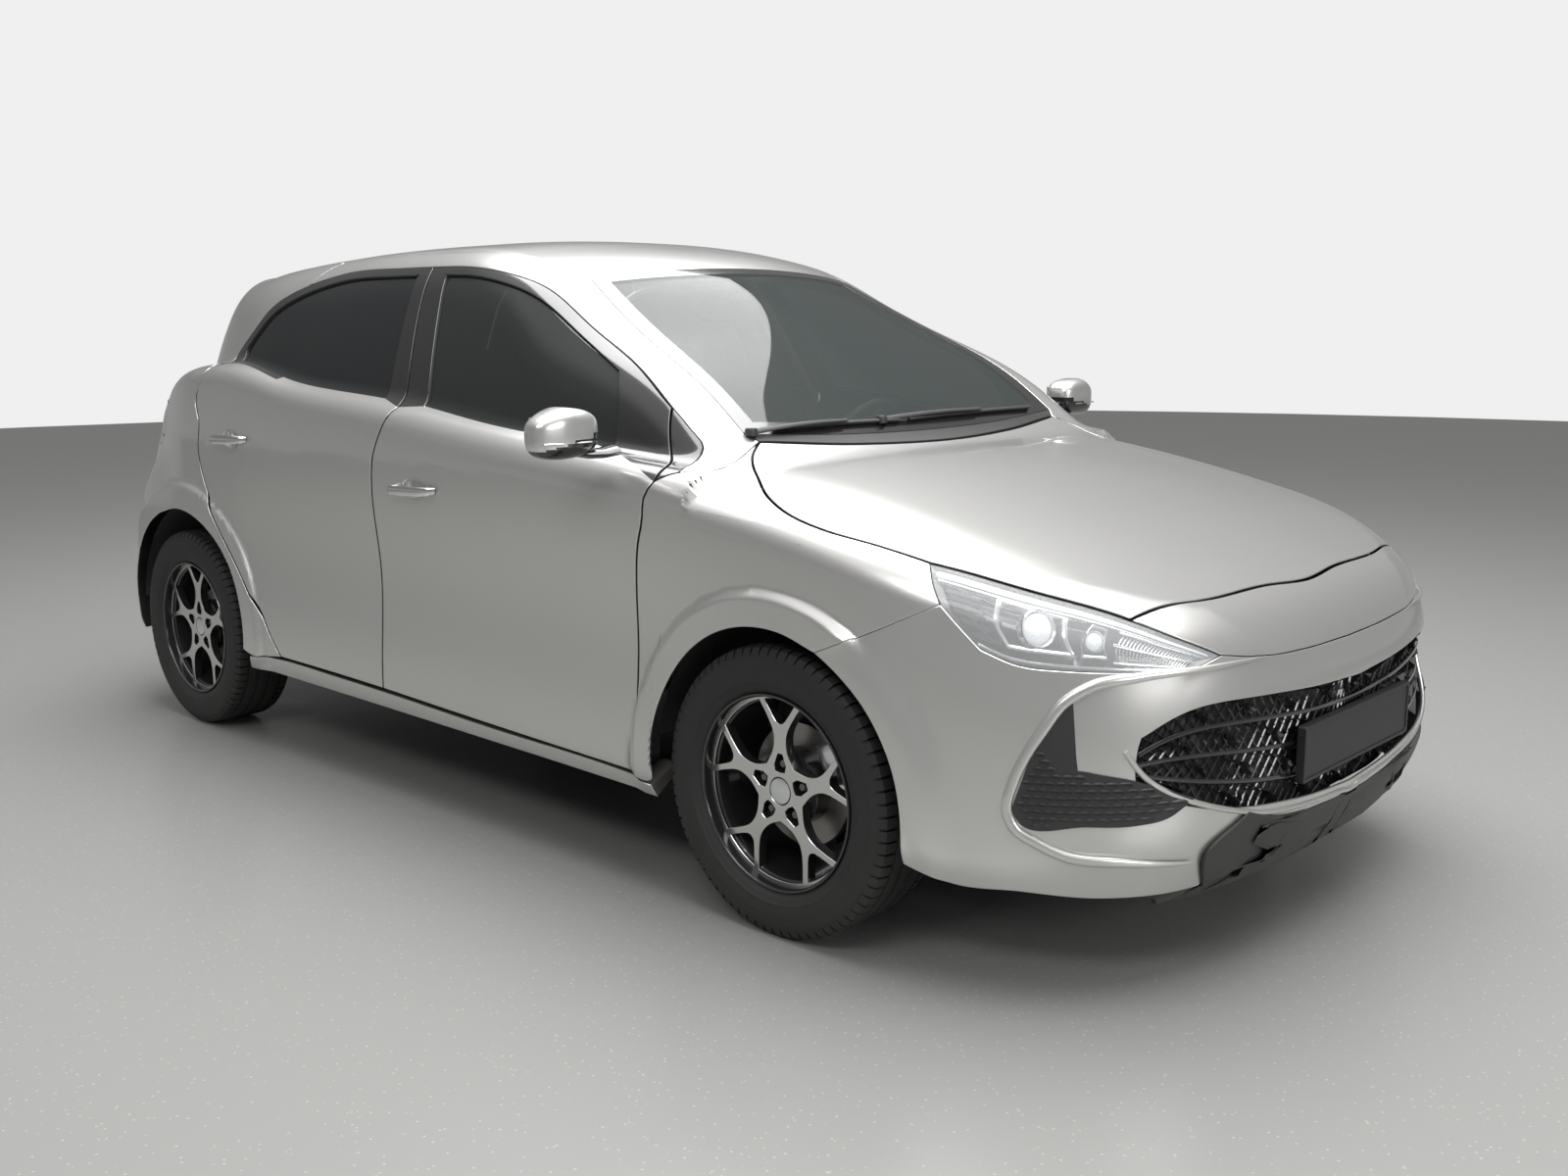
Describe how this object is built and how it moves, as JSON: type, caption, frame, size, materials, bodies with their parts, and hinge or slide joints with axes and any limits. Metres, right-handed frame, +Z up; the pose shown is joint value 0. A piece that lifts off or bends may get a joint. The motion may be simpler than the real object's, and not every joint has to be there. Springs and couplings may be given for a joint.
{
  "type": "hatchback car",
  "caption": "Five-door hatchback car with opening doors, bonnet and tailgate, turning wheels and front wheels that steer with the steering wheel.",
  "frame": {"origin": "on the ground, under the middle of the overall box", "axes": "+X forward, +Y to the car's left, +Z up"},
  "size_m": [4.1133, 2.16, 1.5022],
  "materials": {
    "paint": "metallic silver gloss",
    "underbody": "dull sealed steel",
    "glass": "dark tinted",
    "trim": "black grained",
    "gloss_black": "black gloss",
    "lamp": "clear lens",
    "rear_lamp": "red lens",
    "alloy": "machined and black",
    "tyre": "rubber",
    "bright": "satin bright",
    "iron": "rough",
    "cloth": "dark cloth"
  },
  "bodies": {
    "body": {"floor_pan": "underbody", "firewall": "underbody", "boot_floor": "underbody", "arch_liners": "trim", "b_pillars": "trim", "sills": "paint", "side_rails": "paint", "rear_pillars": "paint", "quarter_panels": "paint", "roof_panel": "paint", "front_wings": "paint", "sail_trims": "trim", "nose_panel": "paint", "front_bumper": "paint", "front_splitter": "trim", "grille": "gloss_black", "plate_board": "trim", "headlamps": "lamp", "windscreen": "glass", "cowl_panel": "trim", "wipers": "trim", "rear_bumper": "paint", "tail_lamps": "rear_lamp", "engine_block": "iron", "front_subframe": "underbody", "rear_axle_beam": "underbody", "dashboard": "trim", "steering_column": "trim", "front_seats": "cloth", "rear_bench": "cloth"},
    "front_door_left": {"door_front_left": "paint", "glass_front_left": "glass", "handle_front_left": "bright", "mirror_left": "paint"},
    "rear_door_left": {"door_rear_left": "paint", "glass_rear_left": "glass", "handle_rear_left": "bright"},
    "front_door_right": {"door_front_right": "paint", "glass_front_right": "glass", "handle_front_right": "bright", "mirror_right": "paint"},
    "rear_door_right": {"door_rear_right": "paint", "glass_rear_right": "glass", "handle_rear_right": "bright"},
    "bonnet": {"bonnet": "paint"},
    "tailgate": {"tailgate": "paint", "tailgate_glass": "glass", "roof_spoiler": "paint"},
    "knuckle_left": {"knuckle_left": "iron"},
    "knuckle_right": {"knuckle_right": "iron"},
    "wheel_front_left": {"wheel_front_left": "alloy", "tyre_front_left": "tyre"},
    "wheel_rear_left": {"wheel_rear_left": "alloy", "tyre_rear_left": "tyre"},
    "wheel_front_right": {"wheel_front_right": "alloy", "tyre_front_right": "tyre"},
    "wheel_rear_right": {"wheel_rear_right": "alloy", "tyre_rear_right": "tyre"},
    "steering_wheel": {"steering_wheel": "trim"}
  },
  "joints": [
    {"name": "front_door_left_hinge", "type": "hinge", "parent": "body", "child": "front_door_left", "pos_m": [0.8, 0.882, 0.6], "axis": [0, 0, -1], "range_deg": [0, 65]},
    {"name": "rear_door_left_hinge", "type": "hinge", "parent": "body", "child": "rear_door_left", "pos_m": [-0.245, 0.884, 0.6], "axis": [0, 0, -1], "range_deg": [0, 65]},
    {"name": "front_door_right_hinge", "type": "hinge", "parent": "body", "child": "front_door_right", "pos_m": [0.8, -0.882, 0.6], "axis": [0, 0, 1], "range_deg": [0, 65]},
    {"name": "rear_door_right_hinge", "type": "hinge", "parent": "body", "child": "rear_door_right", "pos_m": [-0.245, -0.884, 0.6], "axis": [0, 0, 1], "range_deg": [0, 65]},
    {"name": "bonnet_hinge", "type": "hinge", "parent": "body", "child": "bonnet", "pos_m": [0.885, 0, 1.006], "axis": [0, -1, 0], "range_deg": [0, 55]},
    {"name": "tailgate_hinge", "type": "hinge", "parent": "body", "child": "tailgate", "pos_m": [-1.49, 0, 1.425], "axis": [0, 1, 0], "range_deg": [0, 80]},
    {"name": "knuckle_left_turn", "type": "hinge", "parent": "body", "child": "knuckle_left", "pos_m": [1.196, 0.7, 0.3105], "axis": [0, 0, 1], "range_deg": [-32, 32]},
    {"name": "knuckle_right_turn", "type": "hinge", "parent": "body", "child": "knuckle_right", "pos_m": [1.196, -0.7, 0.3105], "axis": [0, 0, 1], "range_deg": [-32.5, 32.5]},
    {"name": "wheel_front_left_spin", "type": "hinge", "parent": "knuckle_left", "child": "wheel_front_left", "pos_m": [1.196, 0.775, 0.3105], "axis": [0, 1, 0], "continuous": true},
    {"name": "wheel_rear_left_spin", "type": "hinge", "parent": "body", "child": "wheel_rear_left", "pos_m": [-1.374, 0.775, 0.3105], "axis": [0, 1, 0], "continuous": true},
    {"name": "wheel_front_right_spin", "type": "hinge", "parent": "knuckle_right", "child": "wheel_front_right", "pos_m": [1.196, -0.775, 0.3105], "axis": [0, 1, 0], "continuous": true},
    {"name": "wheel_rear_right_spin", "type": "hinge", "parent": "body", "child": "wheel_rear_right", "pos_m": [-1.374, -0.775, 0.3105], "axis": [0, 1, 0], "continuous": true},
    {"name": "steering_wheel_turn", "type": "hinge", "parent": "body", "child": "steering_wheel", "pos_m": [0.39, 0.37, 0.88], "axis": [-0.9135, 0, 0.4067], "range_deg": [-460, 460]}
  ],
  "couplings": [
    {"joint": "knuckle_right_turn", "follows": "knuckle_left_turn", "ratio": 1},
    {"joint": "steering_wheel_turn", "follows": "knuckle_left_turn", "ratio": 14}
  ]
}
